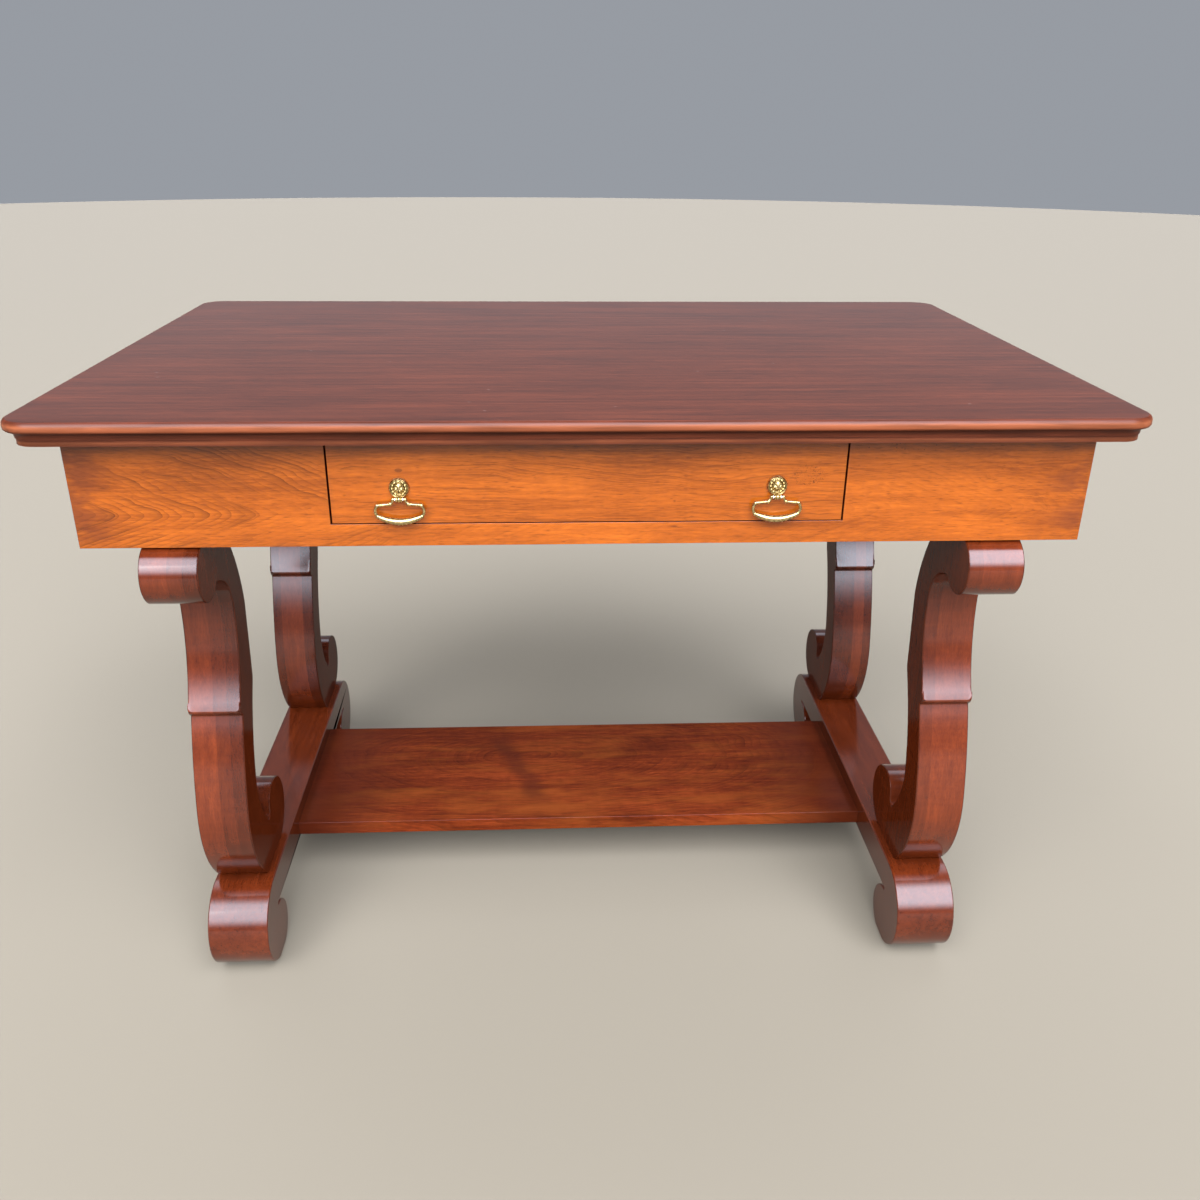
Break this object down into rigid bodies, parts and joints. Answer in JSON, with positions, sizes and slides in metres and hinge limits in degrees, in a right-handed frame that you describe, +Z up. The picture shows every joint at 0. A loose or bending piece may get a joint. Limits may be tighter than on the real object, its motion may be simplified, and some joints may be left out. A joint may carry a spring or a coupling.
{
  "type": "desk",
  "caption": "Library desk with a moulded top, shallow apron with one drawer and bail pulls, S-scroll legs on scroll-footed runners, and a low shelf.",
  "frame": {"origin": "on the floor under the middle of the tabletop", "axes": "+X to the right as seen from the drawer side, +Y to the back, +Z up"},
  "size_m": [1.18, 0.762, 0.762],
  "materials": {
    "top_wood": "satin varnish, dark red-brown",
    "apron_wood": "satin varnish, orange-brown",
    "base_wood": "gloss varnish, red-brown",
    "inner_wood": "bare",
    "felt": "matt",
    "steel": "satin",
    "brass": "polished"
  },
  "bodies": {
    "frame": {"tabletop": "top_wood", "front_apron": "apron_wood", "back_apron": "apron_wood", "end_apron_left": "apron_wood", "end_apron_right": "apron_wood", "bearer_left": "inner_wood", "bearer_right": "inner_wood", "corner_block_front_left": "inner_wood", "corner_block_front_right": "inner_wood", "corner_block_back_left": "inner_wood", "corner_block_back_right": "inner_wood", "drawer_strip_left": "inner_wood", "drawer_strip_right": "inner_wood", "drawer_guide_left": "inner_wood", "drawer_guide_right": "inner_wood", "kicker_left": "inner_wood", "kicker_right": "inner_wood", "drawer_stops": "inner_wood", "leg_front_left": "base_wood", "leg_front_right": "base_wood", "leg_back_left": "base_wood", "leg_back_right": "base_wood", "runner_left": "base_wood", "runner_right": "base_wood", "glide_front_left": "felt", "glide_front_right": "felt", "glide_back_left": "felt", "glide_back_right": "felt", "shelf": "base_wood", "leg_dowels": "inner_wood", "leg_screws": "steel", "top_screws": "steel"},
    "drawer": {"drawer_front": "apron_wood", "drawer_side_left": "inner_wood", "drawer_side_right": "inner_wood", "drawer_back": "inner_wood", "drawer_bottom": "inner_wood", "drawer_screws": "steel", "boss_left": "brass", "boss_right": "brass", "pull_nuts": "brass"},
    "bail_left": {"bail_left": "brass"},
    "bail_right": {"bail_right": "brass"}
  },
  "joints": [
    {"name": "drawer_slide", "type": "slide", "parent": "frame", "child": "drawer", "axis": [0, -1, 0], "range_m": [0, 0.33]},
    {"name": "left_bail_swing", "type": "hinge", "parent": "drawer", "child": "bail_left", "pos_m": [-0.202, -0.343, 0.6685], "axis": [-1, 0, 0], "range_deg": [0, 110]},
    {"name": "right_bail_swing", "type": "hinge", "parent": "drawer", "child": "bail_right", "pos_m": [0.202, -0.343, 0.6685], "axis": [-1, 0, 0], "range_deg": [0, 110]}
  ]
}
